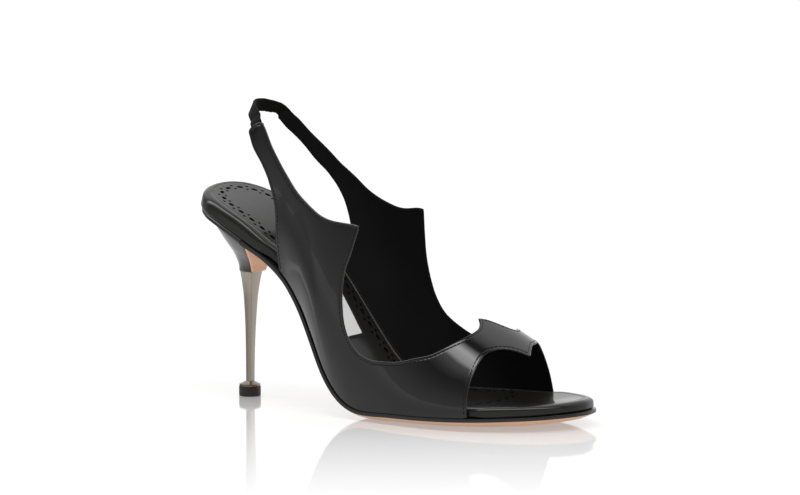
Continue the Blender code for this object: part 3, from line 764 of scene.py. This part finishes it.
def punch_line(loop):
    """Closed line of the punched row, flat on the footbed."""
    inset = shrink(loop, 1.0, ROW_INSET)
    start = int(np.argmin(inset[:, 0]))
    inset = np.roll(inset, -start, axis=0)
    behind = inset[:, 0] < ROW_FRONT[0][0] - 2
    lateral = np.arange(len(inset)) < len(inset) / 2
    return to_flat(np.vstack([inset[behind & lateral], spline(ROW_FRONT, 2.0), inset[behind & ~lateral]]))


def ellipse(centre, tangent, radii, count):
    turn = circle(count)[:, None]
    side = np.array([-tangent[1], tangent[0]])
    return centre + tangent * radii[0] * np.cos(turn) + side * radii[1] * np.sin(turn)


def punched_holes(loop):
    """Outlines of the punched holes: a long one, then a pair across the row."""
    closed = close(punch_line(loop))
    total = run_length(closed)[-1]
    number = int(total / (PUNCH_PITCH / 2)) // 2 * 2
    holes = []
    for k in range(number):
        at = total * k / number
        here = resample(closed, np.array([at, (at + 0.8) % total]))
        tangent = unit(here[1] - here[0])
        side = np.array([-tangent[1], tangent[0]])
        if k % 2:
            holes += [ellipse(here[0] + side * s * PUNCH_SPREAD, tangent, (PUNCH_SMALL, PUNCH_SMALL), 7)
                      for s in (-1, 1)]
        else:
            holes.append(ellipse(here[0], tangent, PUNCH_LARGE, 10))
    return holes


BOARD, EDGE, MIDDLE, FLAT = (1, 0, 0), (0, 1, 0), (0, 0, 1), (0, 0, 0)


def footbed_profile():
    """Rounded edge from the bottom up, a broad shoulder, and the binding's line in the top face."""
    rows = [(f, 0, BOARD, 0) for f in (0.0, 0.5, 0.8)]
    for a in np.linspace(0, math.pi / 2, 6):
        rows.append((1.0, LOWER_ROUND * (1 - math.sin(a)), BOARD, -LOWER_ROUND * (1 - math.cos(a))))
    for a in np.linspace(0, math.pi / 2, 12):
        rows.append((1.0, SHOULDER * (1 - math.cos(a)), (SHOULDER_SHARE * (1 - math.sin(a)), 0, 0), 0))
    groove = ((-0.9, 0.0), (-0.3, 0.0), (-0.12, 0.14), (0.0, 0.3), (0.12, 0.14), (0.3, 0.0), (0.6, 0.0))
    return rows + [(1.0, BINDING + offset, FLAT, depth) for offset, depth in groove]


def build_footbed(leather, hole):
    loop = plan_loop(lambda x, side: -footbed_inset(x, side), 840)
    profile = footbed_profile()
    points, faces = sole_layer(loop, profile)
    for row, (_, inset, _, _) in enumerate(profile):
        if SHOULDER < inset < BINDING - 0.5:
            points[row * len(loop):(row + 1) * len(loop):2, 2] -= RIB_DEPTH
    index = [0] * len(faces)
    rim = to_flat(shrink(loop, 1.0, profile[-1][1]))
    holes = punched_holes(loop)
    spacing = 3.2
    grid = np.array([(s, y) for s in np.arange(ARC_S[0], ARC_S[-1], spacing) for y in np.arange(-40, 41,
                                                                                                spacing)])
    centres = np.array([h.mean(0) for h in holes])
    clear = distances(grid, centres).min(1) > PUNCH_CLEAR
    off_rim = distances(grid, rim).min(1) > spacing / 2
    grid = grid[clear & off_rim & inside_loop(grid, rim)]
    loops = [rim] + holes
    starts = np.cumsum([0] + [len(l) for l in loops])
    rows = [list(range(a, b)) for a, b in zip(starts[:-1], starts[1:])]
    result = delaunay_2d_cdt([Vector(p) for p in np.vstack(loops + [grid])], [], rows, 1, 0.00001)
    flat = np.array([tuple(v) for v in result[0]])
    x, y = from_flat(flat).T
    base = len(points)
    top, low = sole_point(x, y, 0.0), sole_point(x, y, PUNCH_DEPTH)
    size = len(flat)
    seen = {}
    for face, origin in zip(result[2], result[5]):
        punched = any(o > 0 for o in origin)
        faces.append(tuple(base + v + (size if punched else 0) for v in face))
        index.append(1 if punched else 0)
        if punched:
            for a, b in zip(face, face[1:] + face[:1]):
                key = (min(a, b), max(a, b))
                seen[key] = None if key in seen else (a, b)
    for edge in seen.values():
        if edge:
            a, b = edge
            faces.append((base + a, base + b, base + b + size, base + a + size))
            index.append(1)
    used = np.vstack([points, top, low])
    make_piece("footbed_leather", used, faces, (leather, hole), "footbed", index, sharp=50)


def build_binding_stitches(thread):
    """Fine thread in the binding's line."""
    loop = plan_loop(lambda x, side: -footbed_inset(x, side), 420)
    plan = shrink(loop, 1.0, BINDING)
    line = sole_point(*plan.T, 0.16)
    middle = sole_point(*shrink(loop, 1.0, BINDING + 1).T, 0.16)
    ahead = np.roll(line, -1, axis=0) - line
    normal = unit(np.cross(ahead, middle - line))
    normal *= np.sign(normal[:, 2:])
    points, faces = stitch_mesh([(close(line), close(normal))], *STITCHES["binding"])
    make_piece("binding_stitches", points, faces, (thread,), "footbed", sharp=None)


def widened(ends, step):
    return ends[0] - step, ends[1] + step


def patch(s_range, y_range, lift, skirt, columns=30, rows=9):
    """Thin pad on the footbed: a grid with its sides turned down."""
    s = np.linspace(*s_range, columns)
    y = np.linspace(*y_range, rows)
    grid = np.stack(np.meshgrid(s, y, indexing="ij"), -1).reshape(-1, 2)
    plan = from_flat(grid)
    top = sole_point(*plan.T, -lift)
    low = sole_point(*plan.T, -lift + skirt)
    faces = []
    for i in range(columns - 1):
        for j in range(rows - 1):
            a = i * rows + j
            faces.append((a, a + rows, a + rows + 1, a + 1))
    size = len(grid)
    border = ([i * rows for i in range(columns)] + [(columns - 1) * rows + j for j in range(1, rows)]
              + [i * rows + rows - 1 for i in range(columns - 2, -1, -1)] + list(range(rows - 2, 0, -1)))
    faces += [(a, b, b + size, a + size) for a, b in zip(border, border[1:] + border[:1])]
    faces += [tuple(v + size for v in f)[::-1] for f in faces[:(columns - 1) * (rows - 1)]]
    return np.vstack([top, low]), faces


def build_label(label, frame_leather, thread):
    front = float(np.interp(LABEL_FRONT_X, ARC_X, ARC_S))
    s_range = (front - LABEL_LENGTH, front)
    points, faces = patch(widened(s_range, LABEL_FRAME), widened(LABEL_SIDES, LABEL_FRAME), FRAME_RISE, 0.5)
    make_piece("label_frame", points, faces, (frame_leather,), "footbed", sharp=50)
    points, faces = patch(s_range, LABEL_SIDES, LABEL_RISE, 0.4)
    make_piece("insole_label", points, faces, (label,), "footbed", sharp=50)
    (back, front), (left, right) = (widened(ends, LABEL_FRAME / 2) for ends in (s_range, LABEL_SIDES))
    corners = np.array([(back, left), (front, left), (front, right), (back, right)])
    lines = []
    for a, b in zip(corners, np.roll(corners, -1, axis=0)):
        run = a + (b - a) * np.linspace(0, 1, 40)[:, None]
        plan = from_flat(run)
        line = sole_point(*plan.T, -FRAME_RISE)
        normal = unit(sole_point(*plan.T, -FRAME_RISE - 1) - line)
        lines.append((line, normal))
    points, faces = stitch_mesh(lines, *STITCHES["label"])
    make_piece("label_stitches", points, faces, (thread,), "footbed", sharp=None)


def cut_loop(loop, limit, ahead):
    """Part of a plan outline before or behind a straight cut, from crossing to crossing."""
    inside = loop[:, 0] > limit if ahead else loop[:, 0] < limit
    start = int(np.argmax(inside & ~np.roll(inside, 1)))
    loop, inside = np.roll(loop, -start, axis=0), np.roll(inside, -start)
    count = int(inside.sum())
    ends = [(loop[-1], loop[0]), (loop[count - 1], loop[count])]
    first, last = (a + (b - a) * (limit - a[0]) / (b[0] - a[0]) for a, b in ends)
    return np.vstack([first, loop[:count], last])


def build_outsole(tan, paint):
    loop = cut_loop(plan_loop(lambda x, side: 0.2 + 0 * x, 420), BREAST, True)
    loop[:, 0] += TOE_WELT * ease((loop[:, 0] - 160) / (TOE_TIP - 160))
    upper = [(f, 0, BOARD, 0.1) for f in (0.0, 0.5, 0.85)]
    upper += [(1.0, 0.35, BOARD, 0.1), (1.0, 0.08, BOARD, 0.2), (1.0, 0.0, BOARD, 0.45),
              (1.0, 0.0, EDGE, -0.3),
              (1.0, 0.1, EDGE, -0.05), (1.0, 0.3, EDGE, 0.05)]
    lower = []
    for t in np.linspace(0, 1, 12)[1:]:
        drop = 1 - (1 - t) ** 1.8
        lower.append((1 - 0.28 * t, 0.3, (0, 1 - drop, drop), 0.05 * (1 - t)))
    lower += [(f, 0, MIDDLE, 0) for f in (0.4, 0.0)]
    points, faces = sole_layer(loop, upper + lower, floor=True)
    index = [0 if i // len(loop) < len(upper) - 1 else 1 for i in range(len(faces))]
    make_piece("outsole_leather", points, faces, (paint, tan), "outsole", index, sharp=35)


def build_rand(paint):
    loop = cut_loop(plan_loop(lambda x, side: 0 * x, 420), RAND_END, False)
    loop[:, 0] += RAND_STEP * np.clip((6 - loop[:, 0]) / 20, 0, 1)
    profile = [(f, 0, BOARD, 0.1) for f in (0.0, 0.5, 0.85)]
    profile += [(1.0, 0.5, BOARD, 0.1), (1.0, 0.3, BOARD, 0.3), (1.0, 0.05, BOARD, 0.5),
                (1.0, 0.0, BOARD, 0.8),
                (1.0, 0.0, EDGE, -RAND_RISE - 0.5), (1.0, 0.12, EDGE, -RAND_RISE - 0.15)]
    profile += [(1.0, 0.4, EDGE, -RAND_RISE)] + [(f, 0, EDGE, -RAND_RISE) for f in (0.85, 0.5, 0.0)]
    points, faces = sole_layer(loop, profile)
    make_piece("seat_rand_strip", points, faces, (paint,), "seat_rand")


def seat_height(x, y):
    """Underside of the rand over a place on the floor."""
    guess = np.asarray(x, float).copy()
    for _ in range(6):
        point = sole_point(guess, y, DEPTH_SMOOTH["edge"](guess) - RAND_RISE + 0.1)
        guess = guess + (x - point[..., 0])
    return point[..., 2]


def d_ring(back, breast, half, count, corner=0.35):
    """Rounded back and flat front of the heel, its two front corners just broken."""
    turn = np.linspace(-math.pi / 2, math.pi / 2, count)
    x, y = breast - corner - (breast - corner - back) * np.cos(turn), -half * np.sin(turn)
    front = [breast - 0.1 * corner, breast - 0.4 * corner]
    x = np.concatenate([front, x, front[::-1]])
    side = np.array([half - corner, half - 0.35 * corner])
    y = np.concatenate([side, y, -side[::-1]])
    return x, y


def block_size(rise):
    return [curve(BLOCK, BLOCK_COLUMNS, name, rise) for name in BLOCK_COLUMNS[1:]]


def block_ring(x, y, rise):
    """Line round the block or its flap, at a share of the way from its bottom to the seat."""
    return np.stack([x, y, BLOCK_BOTTOM + rise * (seat_height(x, y) - BLOCK_BOTTOM)], 1)


def build_block(cover):
    rings = []
    rises = np.concatenate([[0.0, 0.004, 0.012, 0.03], np.linspace(0.06, 1.0, 26)])
    lips = {0.0: -0.15, 0.004: 0.12, 0.012: 0.22, 0.03: 0.12}
    for rise in rises:
        back, breast, half = block_size(rise)
        lip = lips.get(float(rise), 0.0)
        rings.append(block_ring(*d_ring(back - lip, breast, half + lip, 41), rise))
    size = len(rings[0])
    middle = (rings[0][:, 0].min() + rings[0][:, 0].max()) / 2
    floor = [rings[0] * (k, k, 1) + (middle * (1 - k), 0, 0) for k in (0.0, 0.5)]
    centre = rings[-1][:, 0].mean()
    seat = [np.stack([centre + (rings[-1][:, 0] - centre) * k, rings[-1][:, 1] * k], 1) for k in (0.6, 0.0)]
    seat = [np.column_stack([p, seat_height(p[:, 0], p[:, 1])]) for p in seat]
    rows = floor + rings + seat
    make_piece("heel_block_cover", np.vstack(rows), ring_faces(len(rows), size), (cover,), "heel_block",
               sharp=50)


def build_flap(tan):
    """Tongue of sole leather down the front of the heel."""
    rows = []
    for rise in np.linspace(0.008, 1.0, 18):
        _, breast, half = block_size(rise)
        half = half - 0.05
        front, back = breast + GAP + FLAP, breast + 0.05
        edge = 0.3
        outline = [(back, half), (front - edge, half), (front - 0.3 * edge, half - 0.3 * edge),
                   (front, half - edge)]
        outline += [(front, half * k) for k in (0.5, 0.0, -0.5)]
        outline += [(x, -y) for x, y in outline[:4][::-1]]
        rows.append(block_ring(*np.array(outline, float).T, rise))
    make_piece("breast_flap", np.vstack(rows), tube_faces(len(rows), len(rows[0])), (tan,), "outsole")


def build_shaft(metal):
    z = column(SHAFT, SHAFT_COLUMNS, "z")
    rows = []
    for level in np.concatenate([[z[0], z[0] + 0.3], np.linspace(z[0] + 1, z[-1] - 1, 30),
                                 [z[-1] - 0.3, z[-1]]]):
        back, breast, half = (curve(SHAFT, SHAFT_COLUMNS, name, level) for name in SHAFT_COLUMNS[1:])
        x, y = d_ring(back, breast, half, 33, corner=0.22)
        rows.append(np.stack([x, y, np.full(len(x), level)], 1))
    make_piece("heel_shaft_metal", np.vstack(rows), tube_faces(len(rows), len(rows[0])), (metal,),
               "heel_shaft", sharp=30)


def turned(name, profile, material, node, steps=72):
    """Profile of radius and height turned round the heel's axis."""
    turn = circle(steps)
    rings = [np.stack([r * np.cos(turn), r * np.sin(turn), np.full(steps, z)], 1) for r, z in profile]
    make_piece(name, np.vstack(rings), ring_faces(len(rings), steps), (material,), node, sharp=35)


def build_collar(metal):
    r, low = TIP_RADIUS - 0.15, TIP_HEIGHT
    profile = ((0, low + 0.02), (r - 0.1, low + 0.02), (r, low + 0.12), (r, low + 0.95),
               (r - 0.12, low + 1.15),
               (r - 0.4, low + 1.25), (4.4, low + 1.5), (3.7, low + 1.8), (3.0, low + 2.1),
               (2.75, COLLAR_TOP - 0.15),
               (2.6, COLLAR_TOP), (0, COLLAR_TOP))
    turned("heel_collar_plate", profile, metal, "heel_collar")


def build_tip(rubber):
    r, top = TIP_RADIUS, TIP_HEIGHT
    profile = ((0, 0), (r - 0.5, 0), (r - 0.15, 0.1), (r, 0.4), (r, 2.1), (r - 0.06, 2.25), (r, 2.4),
               (r, top - 0.35), (r - 0.1, top - 0.1), (r - 0.35, top), (0, top))
    turned("heel_tip_rubber", profile, rubber, "heel_tip")


def tuck_ends(middle, across):
    """Elastic's line drawn into the walls of both tabs, and the share of that along it."""
    x, angle = np.meshgrid(np.linspace(4, 32, 57), np.linspace(-75, 75, 151) * DEGREE, indexing="ij")
    place, _, _, normal = last_frame(np.stack([x.ravel(), angle.ravel()], 1))
    best = distances(middle, place).argmin(1)
    face, out = place[best], normal[best]
    at = run_length(middle)
    share = 1 - ease((np.minimum(at, at[-1] - at) - 5.5) / 5)[:, None]
    height = ((middle - face) * out).sum(1, keepdims=True)
    middle = middle - out * (height + 0.75) * share
    across = across - out * (across * out).sum(1, keepdims=True) * share
    return middle, across, share


def build_elastic(webbing):
    fine = np.vstack([spline(ELASTIC, 0.6), ELASTIC[-1:]])
    weight = soft_weights(np.arange(-12, 13), 4.5)
    fine = np.stack([blur(fine[:, k], weight) for k in range(6)], 1)
    middle, across, share = tuck_ends(fine[:, :3], unit(fine[:, 3:]))
    along = unit(np.gradient(middle, axis=0))
    across = unit(across - along * (across * along).sum(1, keepdims=True))
    thick = unit(np.cross(along, across))
    at = run_length(middle)
    gather = 1 + 0.012 * np.sin(at * 2.6) + 0.01 * np.sin(at * 1.1 + 1)
    width = (ELASTIC_WIDTH / 2 * gather)[:, None]
    wave = (0.1 * np.sin(at * 2.6 + 0.7))[:, None] * (1 - share)
    half = ELASTIC_THICKNESS / 2 * (1 - 0.45 * share)
    lanes = np.linspace(-0.96, 0.96, 29)
    ribs = 0.09 * np.cos(lanes * math.pi * 7.25)
    lower = [(-1.0, -0.4, 0.0)] + [(a, -1.0, -r) for a, r in zip(lanes, ribs)] + [(1.0, -0.4, 0.0)]
    outline = lower + [(-a, -side, -rib) for a, side, rib in lower]
    points = [middle + across * width * a + thick * (half * side + (1 - share) * rib + wave * abs(a) ** 3)
              for a, side, rib in outline]
    points = np.stack(points, 1).reshape(-1, 3)
    make_piece("sling_elastic_webbing", points, tube_faces(len(fine), len(outline)), (webbing,),
               "sling_elastic", sharp=60)


def set_inputs(made, **values):
    """Set a node's sockets, each named with _ for a space."""
    for name, value in values.items():
        made.inputs[name.replace("_", " ")].default_value = value
    return made


def node(tree, kind, operation=None, **inputs):
    made = tree.nodes.new("ShaderNode" + kind)
    if operation:
        made.operation = operation
    return set_inputs(made, **inputs)


def finish(name, colour, second, roughness, grain, grain_height, specular, mottle=60, metallic=0.0, coat=0.0,
           coat_roughness=0.05, sheen=0.0, swell=0, swell_height=0.0, stretch=(1, 1, 1)):
    """Procedural finish: mottled colour, uneven gloss, fine grain and slow waves in the surface."""
    material = bpy.data.materials.new(name)
    material.use_nodes = True
    tree = material.node_tree
    link = tree.links.new
    shader = tree.nodes["Principled BSDF"]
    set_inputs(shader, Metallic=metallic, Coat_Weight=coat, Coat_Roughness=coat_roughness, Coat_IOR=1.45,
               Specular_IOR_Level=specular, Sheen_Weight=sheen)
    scaled = node(tree, "Mapping", Scale=stretch)
    link(node(tree, "TexCoord").outputs["Object"], scaled.inputs["Vector"])

    def noise(scale, detail=3.0):
        made = node(tree, "TexNoise", Scale=scale, Detail=detail)
        link(scaled.outputs["Vector"], made.inputs["Vector"])
        return made.outputs["Fac"]

    blend = node(tree, "Mix")
    blend.data_type = "RGBA"
    set_inputs(blend, A=(*colour, 1), B=(*second, 1))
    link(noise(mottle), blend.inputs["Factor"])
    link(blend.outputs["Result"], shader.inputs["Base Color"])
    gloss = node(tree, "MapRange", To_Min=max(roughness - GLOSS_SPREAD, 0.02),
                 To_Max=roughness + GLOSS_SPREAD)
    link(noise(mottle * 2.3), gloss.inputs["Value"])
    link(gloss.outputs["Result"], shader.inputs["Roughness"])
    bump = node(tree, "Bump", Strength=1.0, Distance=grain_height * MM)
    link(noise(grain, 4.0), bump.inputs["Height"])
    link(bump.outputs["Normal"], shader.inputs["Normal"])
    if swell:
        waves = node(tree, "Bump", Strength=1.0, Distance=swell_height * MM)
        link(noise(swell, 1.0), waves.inputs["Height"])
        link(waves.outputs["Normal"], bump.inputs["Normal"])
        link(waves.outputs["Normal"], shader.inputs["Coat Normal"])
    return material


def build_pieces():
    made = {name: finish(name, **dict(zip(FINISH_COLUMNS, row)), **FINISH_EXTRAS.get(name, {}))
            for name, row in FINISHES.items()}
    build_upper(made["patent"], made["suede_lining"], made["painted_edge"])
    build_upper_stitches(made["thread"])
    build_footbed(made["insole"], made["punched_lining"])
    build_binding_stitches(made["binding_thread"])
    build_label(made["blank_label"], made["label_surround"], made["thread"])
    build_outsole(made["sole_tan"], made["edge_black"])
    build_rand(made["edge_black"])
    build_block(made["heel_patent"])
    build_flap(made["sole_tan"])
    build_shaft(made["brushed_metal"])
    build_collar(made["bronze_metal"])
    build_tip(made["tip_rubber"])
    build_elastic(made["webbing"])


def camera_axes():
    """Camera's right, up and back directions."""
    a, e = AZIMUTH, ELEVATION
    back = np.array([math.sin(a) * math.cos(e), -math.cos(a) * math.cos(e), math.sin(e)])
    right = np.array([math.cos(a), math.sin(a), 0.0])
    return right, np.cross(back, right), back


def add_camera():
    right, up, back = camera_axes()
    off_x = (HEEL_PIXEL[0] - FRAME_SIZE[0] / 2) / PIXELS_PER_MM
    off_y = (FRAME_SIZE[1] / 2 - HEEL_PIXEL[1]) / PIXELS_PER_MM
    place = back * DISTANCE - right * off_x - up * off_y
    data = bpy.data.cameras.new("camera")
    data.sensor_width = 36.0
    data.sensor_fit = "HORIZONTAL"
    data.lens = PIXELS_PER_MM * DISTANCE * data.sensor_width / FRAME_SIZE[0]
    data.clip_end = 100.0
    camera = bpy.data.objects.new("camera", data)
    turn = Matrix([right, up, back]).transposed().to_4x4()
    camera.matrix_world = Matrix.Translation(Vector(place * MM)) @ turn
    bpy.context.scene.collection.objects.link(camera)
    bpy.context.scene.camera = camera


def add_floor():
    """White floor that shines at a grazing look and fades towards the front."""
    mesh = bpy.data.meshes.new("floor")
    size = 30.0
    mesh.from_pydata([(-size, -size, 0), (size, -size, 0), (size, size, 0), (-size, size, 0)], [],
                     [(0, 1, 2, 3)])
    floor = bpy.data.objects.new("floor", mesh)
    bpy.context.scene.collection.objects.link(floor)
    material = bpy.data.materials.new("floor_white")
    material.use_nodes = True
    tree = material.node_tree
    link = tree.links.new
    shader = tree.nodes["Principled BSDF"]
    set_inputs(shader, Base_Color=(FLOOR_GREY, FLOOR_GREY, FLOOR_GREY, 1), Roughness=0.9,
               Specular_IOR_Level=0.0, Emission_Color=(1, 1, 1, 1), Emission_Strength=FLOOR_GLOW)
    gloss = node(tree, "BsdfGlossy", Roughness=MIRROR_ROUGHNESS)
    mix = node(tree, "MixShader")
    ahead = node(tree, "VectorMath", "DOT_PRODUCT")
    ahead.inputs[1].default_value = (math.sin(AZIMUTH), -math.cos(AZIMUTH), 0)
    fade = node(tree, "MapRange", From_Min=0.0, From_Max=MIRROR_REACH, To_Min=MIRROR_SHARE, To_Max=0.0)
    link(node(tree, "TexCoord").outputs["Object"], ahead.inputs[0])
    link(ahead.outputs["Value"], fade.inputs["Value"])
    facing = node(tree, "LayerWeight", Blend=0.5)
    grazing = node(tree, "MapRange", From_Min=0.66, From_Max=0.86)
    share = node(tree, "Math", "MULTIPLY")
    link(facing.outputs["Facing"], grazing.inputs["Value"])
    link(grazing.outputs["Result"], share.inputs[0])
    link(fade.outputs["Result"], share.inputs[1])
    link(share.outputs["Value"], mix.inputs["Fac"])
    link(shader.outputs["BSDF"], mix.inputs[1])
    link(gloss.outputs["BSDF"], mix.inputs[2])
    link(mix.outputs["Shader"], tree.nodes["Material Output"].inputs["Surface"])
    mesh.materials.append(material)


def add_studio():
    """Light tent as a world of long strips along the shoe: bright overhead, dark beside that."""
    world = bpy.data.worlds.new("studio")
    bpy.context.scene.world = world
    world.use_nodes = True
    tree = world.node_tree
    link = tree.links.new
    background = tree.nodes["Background"]
    split = node(tree, "SeparateXYZ")
    angle = node(tree, "Math", "ARCTAN2")
    share = node(tree, "MapRange", From_Min=-math.pi / 2, From_Max=math.pi / 2)
    ramp = node(tree, "ValToRGB")
    link(node(tree, "TexCoord").outputs["Generated"], split.inputs["Vector"])
    link(split.outputs["Y"], angle.inputs[0])
    link(split.outputs["Z"], angle.inputs[1])
    link(angle.outputs["Value"], share.inputs["Value"])
    link(share.outputs["Result"], ramp.inputs["Fac"])
    link(ramp.outputs["Color"], background.inputs["Color"])
    stops = ramp.color_ramp.elements
    stops.remove(stops[1])
    for degrees, light in SKY:
        stop = stops[0] if degrees == SKY[0][0] else stops.new((degrees + 90) / 180)
        stop.color = (light / SKY_TOP, light / SKY_TOP, light / SKY_TOP, 1)
    sideways = node(tree, "Math", "ABSOLUTE")
    full = SKY_TOP * SKY_GAIN
    ends = node(tree, "MapRange", From_Min=0.78, From_Max=0.96, To_Min=full, To_Max=full * SKY_ENDS)
    link(split.outputs["X"], sideways.inputs[0])
    link(sideways.outputs["Value"], ends.inputs["Value"])
    link(ends.outputs["Result"], background.inputs["Strength"])
    bpy.context.scene.view_settings.view_transform = "Standard"


build_pieces()
add_camera()
add_floor()
add_studio()
